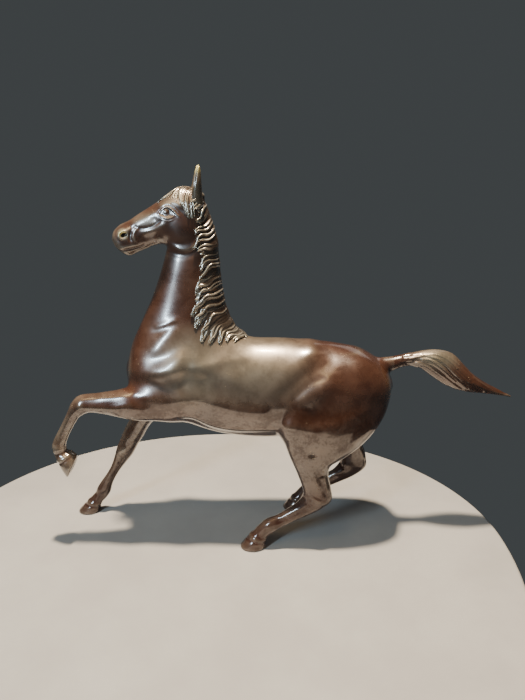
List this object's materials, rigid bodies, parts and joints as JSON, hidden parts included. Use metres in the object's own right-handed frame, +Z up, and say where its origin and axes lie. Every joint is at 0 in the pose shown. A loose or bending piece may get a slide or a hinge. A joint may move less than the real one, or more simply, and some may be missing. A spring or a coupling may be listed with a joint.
{
  "type": "horse statuette",
  "caption": "Cast bronze statuette of a prancing horse with one foreleg raised, standing free on its other hooves, with chased mane and streaming tail.",
  "frame": {"origin": "middle of the bounding box in plan, on the floor that the three standing hooves rest on", "axes": "+Z up; the nose points to -X and the tail to +X; the horse's left side is -Y"},
  "size_m": [0.4458, 0.0866, 0.3582],
  "materials": {
    "bronze_body": "dark red-brown patinated bronze, waxed satin gloss, rubbed lighter on the back",
    "bronze_hair": "chased bronze hair, near-black in the grooves and rubbed bright on the ridges",
    "brass_fitting": "turned brass, patinated where it shows",
    "steel_stud": "plain threaded rod"
  },
  "bodies": {
    "root": {"torso_shell": "bronze_body", "neck_shell": "bronze_body", "head_shell": "bronze_body", "left_front_leg": "bronze_body", "right_front_leg": "bronze_body", "left_hind_leg": "bronze_body", "right_hind_leg": "bronze_body", "left_ear": "bronze_body", "right_ear": "bronze_body", "mane": "bronze_hair", "forelock": "bronze_hair", "tail": "bronze_hair", "left_front_leg_pin": "brass_fitting", "right_front_leg_pin": "brass_fitting", "left_hind_leg_pin": "brass_fitting", "right_hind_leg_pin": "brass_fitting", "belly_front_plug": "brass_fitting", "belly_rear_plug": "brass_fitting", "left_thigh_plug": "brass_fitting", "tail_stud": "steel_stud"}
  },
  "joints": []
}
